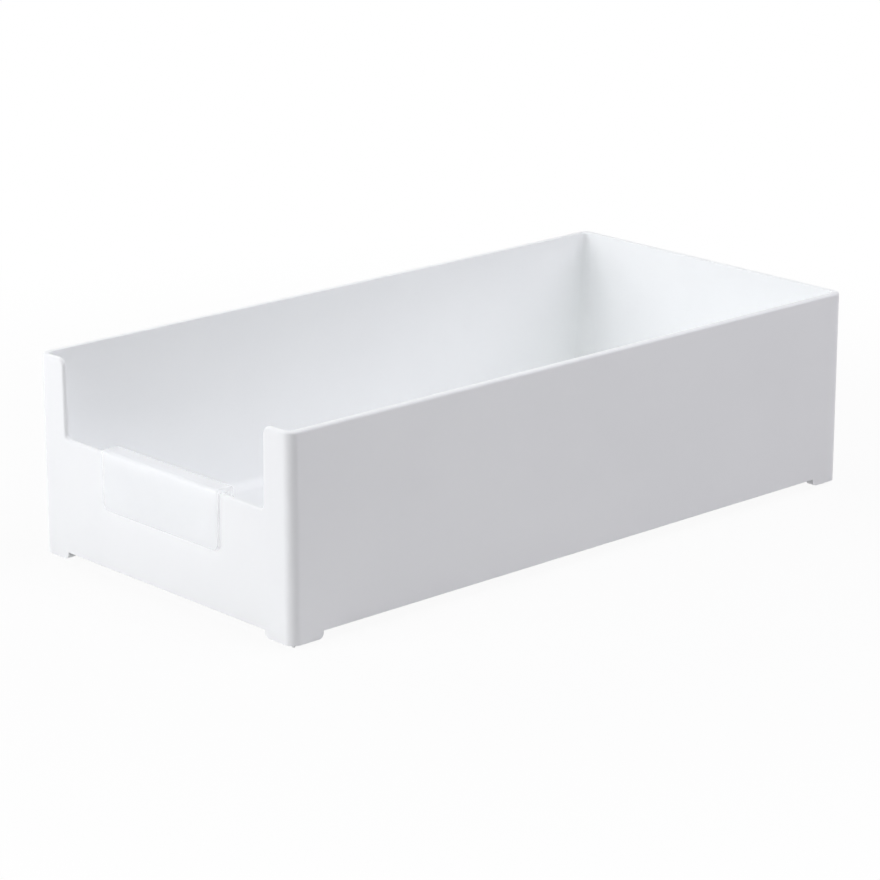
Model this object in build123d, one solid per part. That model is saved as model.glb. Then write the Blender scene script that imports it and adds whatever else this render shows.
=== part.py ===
from build123d import *
from math import asin, cos, hypot, radians, sin, sqrt, tan
import os

# Modular storage box: a long moulded tray with a cut-down front, standing on four corner feet,
# and a clip-on label holder that hooks over the lip of the front notch.
# All sizes are millimetres and degrees. X runs across the front, Y from front to back, Z up.
# The origin is on the floor, under the middle of the whole part.

# Tray
width = 130.0                # outside, across the front
length = 260.0               # outside, front to back
body_height = 68.0           # underside of the base to the rim
wall = 2.4                   # sides and back, at the rim
front_wall = 1.8             # front, at the rim: thinner, for the label holder to hook over
base_thickness = 2.2
inner_draft = 0.35           # inside faces only, so that trays stand wall to wall outside
corner_radius = 3.6          # outside vertical corners
cavity_rim_radius = 2.0      # inside vertical corners at the rim
cavity_base_radius = 7.0     # the same corners at the floor
floor_fillet = 4.0           # inside, where the walls meet the floor
rim_outer_round = 1.0
rim_inner_round = 0.4
bottom_round = 0.4           # outside, round the lower edge of the base

# Front notch
post_width = 13.2            # wall left standing at each side of the notch, at the rim
notch_depth = 27.8           # rim to lip
notch_flare = 0.8            # each side leans outwards towards the rim
notch_top_radius = 3.0
notch_bottom_radius = 1.8

# Feet and the locating pips under them
foot_drop = 2.4
foot_leg = 13.2              # length of each leg of the angle, from the outside corner
foot_leg_thickness = 3.2
foot_web_radius = 3.0        # fills the inside of the angle behind the pip
foot_end_radius = 2.0
pip_height = 1.6
pip_diameter = 1.3
pip_tip_chamfer = 0.3
pip_clearance = 0.1          # pip to the inside corner of the rim that it drops into when stacked

# Gate mark in the middle of the underside
gate_diameter = 9.0
gate_depth = 0.5
gate_stub_diameter = 1.8
gate_stub_height = 0.35

# Label holder
holder_width = 60.0
plate_thickness = 1.0
plate_drop = 19.3            # lip to the lower edge of the plate
plate_corner_radius = 3.0
bridge_thickness = 1.5
hook_reach = 4.1             # front wall's face to the inner leg
leg_thickness = 1.9
leg_drop = 10.5              # lip to the lower edge of the leg inside the tray
holder_top_round = 1.3       # both upper edges of the bridge
ridge_height = 2.0           # grip ridge at the end of the inner leg, towards the wall
ridge_tip_round = 1.0        # lead-in under the ridge
holder_edge_round = 0.3      # round the face of the plate
pocket_border = 3.2          # plate left solid round the label pocket
pocket_depth = 0.4
plate_clearance = 0.1        # plate to the front wall
ridge_clearance = 0.3        # grip ridge to the thickest part of the wall that it passes
seat_clearance = 0.1         # bridge to the lip

tolerance = 0.01             # for telling which edges lie on which skin

# Places that follow from the sizes
foot_z = pip_height
underside_z = foot_z + foot_drop
floor_z = underside_z + base_thickness
rim_z = underside_z + body_height
lip_z = rim_z - notch_depth

holder_proud = plate_clearance + plate_thickness
body_y = holder_proud / 2
front_y = body_y - length / 2
back_y = body_y + length / 2


def wall_at(z, at_rim=wall):
    """Wall thickness at a height: the inside faces close in towards the floor."""
    return at_rim + (rim_z - z) * tan(radians(inner_draft))


def skin_depth(point):
    """How far a point lies inside the outside outline of the tray, seen from above."""
    over_x = abs(point.X) - (width / 2 - corner_radius)
    over_y = abs(point.Y - body_y) - (length / 2 - corner_radius)
    beyond = hypot(max(over_x, 0), max(over_y, 0)) + min(max(over_x, over_y), 0)
    return corner_radius - beyond


def rim_edges(solid, on_outside):
    """Edges of the rim and of the notch, on the outside skin or on the inside one."""
    chosen = []
    for edge in solid.edges():
        if edge.bounding_box().min.Z < lip_z - tolerance:
            continue
        depth = skin_depth(edge @ 0.5)
        if on_outside and depth < tolerance or not on_outside and depth > front_wall - tolerance:
            chosen.append(edge)
    return chosen


def edges_across_front(solid, z):
    """Edges that run through the front wall at a height, from the outside to the inside."""
    through = solid.edges().filter_by(Axis.Y)
    return [
        edge for edge in through
        if edge.length < 2 * wall_at(lip_z) and abs((edge @ 0.5).Z - z) < tolerance
    ]


def cavity_corner(side_x, side_y, z):
    """Sharp corner of the cavity at a height. side_x is -1 at the left, side_y is -1 at the front."""
    end_wall = front_wall if side_y < 0 else wall
    x = side_x * (width / 2 - wall_at(z))
    y = body_y + side_y * (length / 2 - wall_at(z, end_wall))
    return Vector(x, y, z)


def solid_between(low, high):
    """Solid with flat faces between two outlines that have the same number of corners."""
    sides = [[low[i - 1], low[i], high[i], high[i - 1]] for i in range(len(low))]
    faces = [Face(Wire.make_polygon(points, close=True)) for points in [low, high] + sides]
    return Solid(Shell(faces))


def make_corner_fill(side_x, side_y):
    """What rounds one upright corner of the cavity: a cone touches both walls, wider towards the floor."""
    growth = (cavity_base_radius - cavity_rim_radius) / (rim_z - floor_z)
    apex_z = rim_z + cavity_rim_radius / growth
    apex = cavity_corner(side_x, side_y, apex_z)
    floor_corner = cavity_corner(side_x, side_y, floor_z)
    axis = floor_corner - Vector(side_x, side_y) * cavity_base_radius - apex
    axis = axis.normalized()

    # both walls lean by the draft, and the cone touches each of them along a line
    lean = radians(inner_draft)
    side_normal = Vector(-side_x * cos(lean), 0, sin(lean))
    end_normal = Vector(0, -side_y * cos(lean), sin(lean))
    opening = axis.dot(side_normal)
    reach = apex_z - floor_z + cavity_base_radius
    cone = Solid.make_cone(0, reach * tan(asin(opening)), reach, plane=Plane(origin=apex, z_dir=axis))

    # the corner outside those two lines, less the cone
    spokes = [floor_corner - apex, axis - side_normal * opening, axis, axis - end_normal * opening]
    low, high = (
        [apex + spoke * ((z - apex_z) / spoke.Z) for spoke in spokes]
        for z in (floor_z, rim_z)
    )
    return solid_between(low, high) - cone


def make_cavity():
    """The space inside the tray, drafted, with rounded corners and a rounded floor edge."""
    turns = [(-1, -1), (1, -1), (1, 1), (-1, 1)]
    low, high = ([cavity_corner(x, y, z) for x, y in turns] for z in (floor_z, rim_z))
    cavity = solid_between(low, high)
    for side_x, side_y in turns:
        cavity -= make_corner_fill(side_x, side_y)
    return fillet(cavity.edges().group_by(Axis.Z)[0], floor_fillet)


def make_shell():
    """Tray without its notch and feet: square outside, drafted inside."""
    block = extrude(Pos(0, body_y, underside_z) * RectangleRounded(width, length, corner_radius), body_height)
    block = fillet(block.edges().group_by(Axis.Z)[0], bottom_round)
    return block - make_cavity()


def cut_notch(shell):
    """Cut the front wall down to the lip, and round the notch and the whole rim."""
    half_at_rim = width / 2 - post_width
    half_at_lip = half_at_rim - notch_depth * tan(radians(notch_flare))
    profile = Polygon(
        (-half_at_lip, lip_z), (half_at_lip, lip_z), (half_at_rim, rim_z), (-half_at_rim, rim_z),
        align=None,
    )
    # the cutter starts in front of the wall and ends inside the cavity
    reach = 2 * wall_at(lip_z)
    cutter = extrude(Plane((0, front_y, 0), x_dir=(1, 0, 0), z_dir=(0, -1, 0)) * profile, reach, both=True)
    notched = shell - cutter

    notched = fillet(edges_across_front(notched, rim_z), notch_top_radius)
    notched = fillet(edges_across_front(notched, lip_z), notch_bottom_radius)
    notched = fillet(rim_edges(notched, on_outside=True), rim_outer_round)
    return fillet(rim_edges(notched, on_outside=False), rim_inner_round)


def make_foot():
    """One angle-shaped foot with its pip. Its outside corner is at the origin, its legs run along +X, +Y."""
    t = foot_leg_thickness
    outline = Polygon((0, 0), (foot_leg, 0), (foot_leg, t), (t, t), (t, foot_leg), (0, foot_leg), align=None)
    outside_corner = outline.vertices().sort_by_distance((0, 0, 0))[0]
    outline = fillet(outside_corner, corner_radius)
    inside_corner = outline.vertices().sort_by_distance((t, t, 0))[0]
    outline = fillet(inside_corner, foot_web_radius)

    # the foot runs up into the base, so that the two fuse
    foot = extrude(Pos(0, 0, foot_z) * outline, foot_drop + base_thickness / 2)
    low_edges = foot.edges().group_by(Axis.Z)[0]
    end_edges = [
        edge for edge in low_edges
        if max((edge @ 0.5).X, (edge @ 0.5).Y) > foot_leg - tolerance
    ]
    foot = fillet(end_edges, foot_end_radius)

    # the pip sits in the rounded corner of the rim below, or off its two sides if it is too wide
    reach = pip_diameter / 2 + pip_clearance
    inset = wall + reach + max(cavity_rim_radius - reach, 0) * (1 - 1 / sqrt(2))
    pip = extrude(Circle(pip_diameter / 2), pip_height + foot_drop / 2)
    pip = chamfer(pip.edges().group_by(Axis.Z)[0], pip_tip_chamfer)
    return foot + Pos(inset, inset, 0) * pip


def make_feet():
    """Four feet, flush with the outside walls, each turned to face into the tray."""
    foot = make_foot()
    corners = [(-width / 2, front_y), (width / 2, front_y), (width / 2, back_y), (-width / 2, back_y)]
    return [Pos(x, y, 0) * Rot(0, 0, 90 * turn) * foot for turn, (x, y) in enumerate(corners)]


def make_box_body():
    """The tray, its feet and pips, in one moulding."""
    body = cut_notch(make_shell())
    for foot in make_feet():
        body += foot

    # the sprue leaves a short stub at the bottom of a shallow round recess
    gate = Pos(0, body_y, underside_z) * extrude(Circle(gate_diameter / 2), gate_depth)
    stub_z = underside_z + gate_depth - gate_stub_height
    stub = Pos(0, body_y, stub_z) * extrude(Circle(gate_stub_diameter / 2), gate_stub_height)
    return body - (gate - stub)


def make_label_holder():
    """Clip bent over the lip: plate in front, bridge across, and inside a shorter leg with a grip ridge."""
    plate_front = front_y - holder_proud
    plate_back = front_y - plate_clearance
    leg_front = front_y + hook_reach
    leg_back = leg_front + leg_thickness
    seat_z = lip_z + seat_clearance
    top_z = seat_z + bridge_thickness
    plate_low = lip_z - plate_drop
    leg_low = lip_z - leg_drop
    ridge_front = front_y + wall_at(leg_low, front_wall) + ridge_clearance
    ridge_top = leg_low + ridge_height
    ridge_root = ridge_top + leg_front - ridge_front

    section = Polygon(
        (plate_front, plate_low), (plate_back, plate_low), (plate_back, seat_z), (leg_front, seat_z),
        (leg_front, ridge_root), (ridge_front, ridge_top), (ridge_front, leg_low),
        (leg_back, leg_low), (leg_back, top_z), (plate_front, top_z),
        align=None,
    )
    top_corners = section.vertices().group_by(Axis.Y)[-1]
    section = fillet(top_corners, holder_top_round)
    tip_corner = section.vertices().sort_by_distance((ridge_front, leg_low, 0))[0]
    section = fillet(tip_corner, ridge_tip_round)
    holder = extrude(Plane.YZ * section, holder_width / 2, both=True)

    low_corners = holder.edges().filter_by(Axis.Y).group_by(Axis.Z)[0]
    holder = fillet(low_corners, plate_corner_radius)
    face_edges = [
        edge for edge in holder.edges()
        if (edge @ 0.5).Y < plate_front + tolerance and (edge @ 0.5).Z < seat_z
    ]
    holder = fillet(face_edges, holder_edge_round)

    pocket_width = holder_width - 2 * pocket_border
    pocket_low = plate_low + pocket_border
    pocket = Box(
        pocket_width, pocket_depth, lip_z - pocket_low,
        align=(Align.CENTER, Align.MAX, Align.MIN),
    )
    return holder - Pos(0, plate_back, pocket_low) * pocket


def main():
    os.makedirs("parts", exist_ok=True)
    export_step(make_box_body(), "parts/box_body.step")
    export_step(make_label_holder(), "parts/label_holder.step")


main()
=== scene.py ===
from math import cos, radians, sin

import bpy
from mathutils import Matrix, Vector

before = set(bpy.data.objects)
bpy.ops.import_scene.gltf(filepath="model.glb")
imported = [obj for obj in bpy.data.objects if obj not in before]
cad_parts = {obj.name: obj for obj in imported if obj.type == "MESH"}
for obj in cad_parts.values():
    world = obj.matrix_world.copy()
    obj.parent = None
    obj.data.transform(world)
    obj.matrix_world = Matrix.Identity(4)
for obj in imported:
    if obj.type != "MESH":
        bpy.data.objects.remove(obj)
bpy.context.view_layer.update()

# Camera, at the angle of the photograph
CAMERA_AZIMUTH = radians(47.25)
CAMERA_ELEVATION = radians(16.887)
CAMERA_DISTANCE = 1.1953
CAMERA_LENS = 139.592
CAMERA_SENSOR = 36.0
CAMERA_CLIP = (0.05, 50.0)
CAMERA_TARGET = Vector((-0.002902, -0.00339, 0.02889))

# Floor and world
FLOOR_HALF = 6.0
FLOOR_COLOR = (0.82, 0.82, 0.82, 1.0)
FLOOR_WHITE_NEAR = 0.93      # share of plain white that the camera sees beside the box, over its shadow
FLOOR_WHITE_FAR = 1.0        # the same far from it
FLOOR_NEAR_RADIUS = 0.13
FLOOR_FAR_RADIUS = 0.42
LIGHT_BOUNCES = 14           # enough for the light that a white tray throws about inside itself
WORLD_LIGHT = 0.02           # strength of the dome on the object
WORLD_WHITE = 1.0            # strength that the camera and reflections see

# Softboxes, which all look at the origin: direction from it, distance, width, length, power and colour
SOFTBOXES = {
    "left_light": (Vector((-0.80, -0.10, 0.50)), 1.5, 0.8, 0.8, 3.8, (1.0, 0.99, 1.0)),
    "front_light": (Vector((-0.20, -0.90, 0.43)), 1.2, 0.56, 0.56, 6.5, (0.98, 0.98, 1.0)),
    "low_light": (Vector((-0.50, -0.85, 0.20)), 1.2, 0.64, 0.64, 2.65, (0.98, 0.98, 1.0)),
    "top_light": (Vector((0.04, 0.0, 0.42)), 0.422, 0.25, 0.6, 0.63, (0.96, 1.0, 1.0)),
    "back_light": (Vector((0.50, 0.50, 0.70)), 1.5, 1.5, 1.5, 13.0, (0.97, 0.94, 1.0)),
}

# Both plastics: flow clouds mix two tones and two roughnesses, and a fine grain lies in the surface
PLASTIC_IOR = 1.49
CLOUD_DETAIL = 3.0
CLOUD_RANGE = (0.35, 0.65)   # part of the noise that runs from one tone to the other
GRAIN_DETAIL = 2.0
GRAIN_STRENGTH = 0.12

# Plastic of the tray
BODY_TONES = ((0.909, 0.919, 0.924, 1), (0.924, 0.934, 0.937, 1))
BODY_ROUGHNESS = (0.44, 0.52)
BODY_CLOUD_SCALE = 22.0
BODY_GRAIN_SCALE = 2600.0
BODY_GRAIN_HEIGHT = 0.00004
RIM_RUBBED_FROM = 0.0713     # the rim is rubbed smoother by stacking, from this height
RIM_RUBBED_FULLY = 0.0718    # to this one
RIM_RUBBED_ROUGHNESS = -0.08

# Plastic of the label holder
HOLDER_TONES = ((0.925, 0.929, 0.936, 1), (0.938, 0.942, 0.948, 1))
HOLDER_ROUGHNESS = (0.34, 0.42)
HOLDER_CLOUD_SCALE = 60.0
HOLDER_GRAIN_SCALE = 3800.0
HOLDER_GRAIN_HEIGHT = 0.00003
HOLDER_ALPHA = 0.26
HOLDER_GLOW = 0.16           # share of the light that passes into the frosted plastic and spreads


def direction(azimuth, elevation):
    """Unit vector from the target towards a camera. Azimuth 0 stands in front, at -Y."""
    return Vector((sin(azimuth) * cos(elevation), -cos(azimuth) * cos(elevation), sin(elevation)))


def make_camera():
    data = bpy.data.cameras.new("camera")
    data.lens = CAMERA_LENS
    data.sensor_width = CAMERA_SENSOR
    data.clip_start, data.clip_end = CAMERA_CLIP
    camera = bpy.data.objects.new("camera", data)
    back = direction(CAMERA_AZIMUTH, CAMERA_ELEVATION)
    camera.location = CAMERA_TARGET + back * CAMERA_DISTANCE
    camera.rotation_mode = "QUATERNION"
    camera.rotation_quaternion = (-back).to_track_quat("-Z", "Y")
    bpy.context.scene.collection.objects.link(camera)
    bpy.context.scene.camera = camera


def make_softbox(name, towards, distance, width, length, power, color):
    data = bpy.data.lights.new(name, "AREA")
    data.shape = "RECTANGLE"
    data.size = width
    data.size_y = length
    data.energy = power
    data.color = color
    light = bpy.data.objects.new(name, data)
    light.location = towards.normalized() * distance
    light.rotation_mode = "QUATERNION"
    light.rotation_quaternion = (-towards).to_track_quat("-Z", "Y")
    light.visible_camera = False
    bpy.context.scene.collection.objects.link(light)


class Nodes:
    """Short way to add and join the nodes of one tree."""

    def __init__(self, tree):
        self.tree = tree
        tree.nodes.clear()

    def add(self, kind, inputs=None, **settings):
        node = self.tree.nodes.new("ShaderNode" + kind)
        for name, value in settings.items():
            setattr(node, name, value)
        for name, value in (inputs or {}).items():
            self.put(node.inputs[name], value)
        return node

    def put(self, socket, value):
        if isinstance(value, bpy.types.NodeSocket):
            self.tree.links.new(value, socket)
        else:
            socket.default_value = value

    def math(self, operation, *values):
        node = self.add("Math", operation=operation)
        for socket, value in zip(node.inputs, values):
            self.put(socket, value)
        return node.outputs[0]

    def ramp(self, value, from_range, to_range, smooth=False):
        node = self.add("MapRange", {
            "Value": value, "From Min": from_range[0], "From Max": from_range[1],
            "To Min": to_range[0], "To Max": to_range[1],
        }, interpolation_type="SMOOTHSTEP" if smooth else "LINEAR")
        return node.outputs["Result"]

    def noise(self, vector, scale, detail):
        node = self.add("TexNoise", {"Vector": vector, "Scale": scale, "Detail": detail})
        return node.outputs["Fac"]

    def mix_colors(self, share, first, second):
        factor, color_a, color_b, result = 0, 6, 7, 2      # sockets of a Mix node that mixes colours
        node = self.add("Mix", data_type="RGBA")
        self.put(node.inputs[factor], share)
        self.put(node.inputs[color_a], first)
        self.put(node.inputs[color_b], second)
        return node.outputs[result]

    def seen_directly(self):
        """1 where the camera looks, also by reflection or through plastic, and 0 for light on the object."""
        path = self.add("LightPath").outputs
        reflected = self.math("MAXIMUM", path["Is Glossy Ray"], path["Is Transmission Ray"])
        return self.math("MAXIMUM", path["Is Camera Ray"], reflected)

    def place(self):
        return self.add("TexCoord").outputs["Object"]

    def plastic(self, place, tones, roughness, cloud_scale, grain_scale, grain_height):
        """Tone, roughness and surface direction that both plastics share."""
        clouds = self.noise(place, cloud_scale, CLOUD_DETAIL)
        grain = self.noise(place, grain_scale, GRAIN_DETAIL)
        smooth, dull = roughness
        tone = self.mix_colors(self.ramp(clouds, CLOUD_RANGE, (0.0, 1.0)), *tones)
        rough = self.ramp(clouds, CLOUD_RANGE, (dull, smooth))
        bump = self.add("Bump", {"Height": grain, "Strength": GRAIN_STRENGTH, "Distance": grain_height})
        return tone, rough, bump.outputs[0]


def new_material(name):
    material = bpy.data.materials.new(name)
    material.use_nodes = True
    return material, Nodes(material.node_tree)


def make_floor_material():
    """Pale paper in its own light, and plain white, fading to a faint shadow near the box, to the camera."""
    material, n = new_material("floor_paper")
    radius = n.add("VectorMath", {0: n.place()}, operation="LENGTH").outputs["Value"]
    whiteness = n.ramp(
        radius, (FLOOR_NEAR_RADIUS, FLOOR_FAR_RADIUS), (FLOOR_WHITE_NEAR, FLOOR_WHITE_FAR), smooth=True)
    share = n.math("MULTIPLY", n.seen_directly(), whiteness)
    paper = n.add("BsdfDiffuse", {"Color": FLOOR_COLOR})
    white = n.add("Emission", {"Color": (1, 1, 1, 1), "Strength": 1.0})
    mix = n.add("MixShader", {0: share, 1: paper.outputs[0], 2: white.outputs[0]})
    n.add("OutputMaterial", {"Surface": mix.outputs[0]})
    return material


def make_floor():
    mesh = bpy.data.meshes.new("floor")
    h = FLOOR_HALF
    mesh.from_pydata([(-h, -h, 0), (h, -h, 0), (h, h, 0), (-h, h, 0)], [], [(0, 1, 2, 3)])
    mesh.materials.append(make_floor_material())
    floor = bpy.data.objects.new("floor", mesh)
    bpy.context.scene.collection.objects.link(floor)


def make_world():
    world = bpy.data.worlds.new("studio")
    bpy.context.scene.world = world
    world.use_nodes = True
    n = Nodes(world.node_tree)
    strength = n.ramp(n.seen_directly(), (0.0, 1.0), (WORLD_LIGHT, WORLD_WHITE))
    background = n.add("Background", {"Color": (1, 1, 1, 1), "Strength": strength})
    n.add("OutputWorld", {"Surface": background.outputs[0]})


def make_body_plastic():
    """Satin moulded plastic: faint flow clouds, a fine eroded grain, and a rim burnished by stacking."""
    material, n = new_material("body_plastic_satin")
    place = n.place()
    tone, rough, surface = n.plastic(
        place, BODY_TONES, BODY_ROUGHNESS, BODY_CLOUD_SCALE, BODY_GRAIN_SCALE, BODY_GRAIN_HEIGHT)
    height = n.add("SeparateXYZ", {0: place}).outputs["Z"]
    rubbed = n.ramp(height, (RIM_RUBBED_FROM, RIM_RUBBED_FULLY), (0.0, 1.0), smooth=True)
    rough = n.math("MULTIPLY_ADD", rubbed, RIM_RUBBED_ROUGHNESS, rough)
    shader = n.add("BsdfPrincipled", {
        "Base Color": tone, "Roughness": rough, "IOR": PLASTIC_IOR, "Normal": surface,
    })
    n.add("OutputMaterial", {"Surface": shader.outputs[0]})
    return material


def make_holder_plastic():
    """Frosted plastic that lets part of the light through."""
    material, n = new_material("holder_plastic_frosted")
    tone, rough, surface = n.plastic(
        n.place(), HOLDER_TONES, HOLDER_ROUGHNESS,
        HOLDER_CLOUD_SCALE, HOLDER_GRAIN_SCALE, HOLDER_GRAIN_HEIGHT)
    shader = n.add("BsdfPrincipled", {
        "Base Color": tone, "Roughness": rough, "IOR": PLASTIC_IOR, "Alpha": HOLDER_ALPHA, "Normal": surface,
    })
    spread = n.add("BsdfTranslucent", {"Color": tone, "Normal": surface})
    mix = n.add("MixShader", {0: HOLDER_GLOW, 1: shader.outputs[0], 2: spread.outputs[0]})
    n.add("OutputMaterial", {"Surface": mix.outputs[0]})
    return material


scene = bpy.context.scene
scene.view_settings.view_transform = "Standard"
scene.cycles.max_bounces = LIGHT_BOUNCES
scene.cycles.diffuse_bounces = LIGHT_BOUNCES
make_camera()
make_world()
make_floor()
for name, settings in SOFTBOXES.items():
    make_softbox(name, *settings)

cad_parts["box_body"].data.materials[0] = make_body_plastic()
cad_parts["label_holder"].data.materials[0] = make_holder_plastic()
